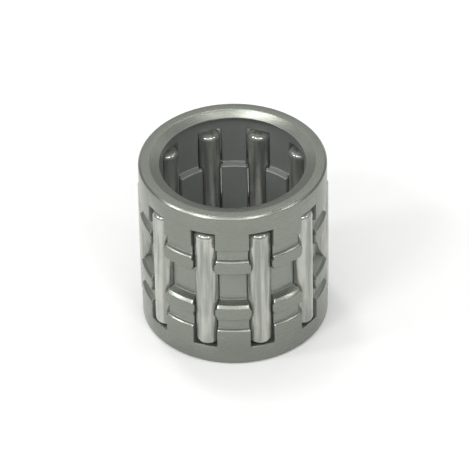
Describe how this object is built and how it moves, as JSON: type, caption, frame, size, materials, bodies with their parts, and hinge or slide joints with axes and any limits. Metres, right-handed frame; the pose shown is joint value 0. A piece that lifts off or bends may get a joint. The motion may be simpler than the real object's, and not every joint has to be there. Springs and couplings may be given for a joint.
{
  "type": "needle roller and cage assembly",
  "caption": "Short steel cage with a stepped W-shaped section that holds loose needle rollers in straight pockets, for running between a pin and a housing bore with no rings.",
  "frame": {"origin": "on the bearing's axis, halfway across the cage's width", "axes": "+Z along the bearing's axis; -Y is the front, midway between two needles; the two ends are alike"},
  "size_m": [0.016, 0.0158, 0.0156],
  "materials": {
    "cage_steel": "turned and heat-treated steel, satin grey",
    "needle_steel": "ground and polished bearing steel"
  },
  "bodies": {
    "cage": {"cage": "cage_steel"},
    "needle_roller_01": {"needle_roller_01": "needle_steel"},
    "needle_roller_02": {"needle_roller_02": "needle_steel"},
    "needle_roller_03": {"needle_roller_03": "needle_steel"},
    "needle_roller_04": {"needle_roller_04": "needle_steel"},
    "needle_roller_05": {"needle_roller_05": "needle_steel"},
    "needle_roller_06": {"needle_roller_06": "needle_steel"},
    "needle_roller_07": {"needle_roller_07": "needle_steel"},
    "needle_roller_08": {"needle_roller_08": "needle_steel"},
    "needle_roller_09": {"needle_roller_09": "needle_steel"},
    "needle_roller_10": {"needle_roller_10": "needle_steel"}
  },
  "joints": [
    {"name": "needle_roller_01_spin", "type": "hinge", "parent": "cage", "child": "needle_roller_01", "pos_m": [0.00216, -0.00666, -0.00013], "axis": [0, 0, 1], "continuous": true},
    {"name": "needle_roller_02_spin", "type": "hinge", "parent": "cage", "child": "needle_roller_02", "pos_m": [0.00566, -0.00411, -0.00013], "axis": [0, 0, 1], "continuous": true},
    {"name": "needle_roller_03_spin", "type": "hinge", "parent": "cage", "child": "needle_roller_03", "pos_m": [0.007, 0, -0.00013], "axis": [0, 0, 1], "continuous": true},
    {"name": "needle_roller_04_spin", "type": "hinge", "parent": "cage", "child": "needle_roller_04", "pos_m": [0.00566, 0.00411, -0.00013], "axis": [0, 0, 1], "continuous": true},
    {"name": "needle_roller_05_spin", "type": "hinge", "parent": "cage", "child": "needle_roller_05", "pos_m": [0.00216, 0.00666, -0.00013], "axis": [0, 0, 1], "continuous": true},
    {"name": "needle_roller_06_spin", "type": "hinge", "parent": "cage", "child": "needle_roller_06", "pos_m": [-0.00216, 0.00666, -0.00013], "axis": [0, 0, 1], "continuous": true},
    {"name": "needle_roller_07_spin", "type": "hinge", "parent": "cage", "child": "needle_roller_07", "pos_m": [-0.00566, 0.00411, -0.00013], "axis": [0, 0, 1], "continuous": true},
    {"name": "needle_roller_08_spin", "type": "hinge", "parent": "cage", "child": "needle_roller_08", "pos_m": [-0.007, 0, -0.00013], "axis": [0, 0, 1], "continuous": true},
    {"name": "needle_roller_09_spin", "type": "hinge", "parent": "cage", "child": "needle_roller_09", "pos_m": [-0.00566, -0.00411, -0.00013], "axis": [0, 0, 1], "continuous": true},
    {"name": "needle_roller_10_spin", "type": "hinge", "parent": "cage", "child": "needle_roller_10", "pos_m": [-0.00216, -0.00666, -0.00013], "axis": [0, 0, 1], "continuous": true}
  ]
}
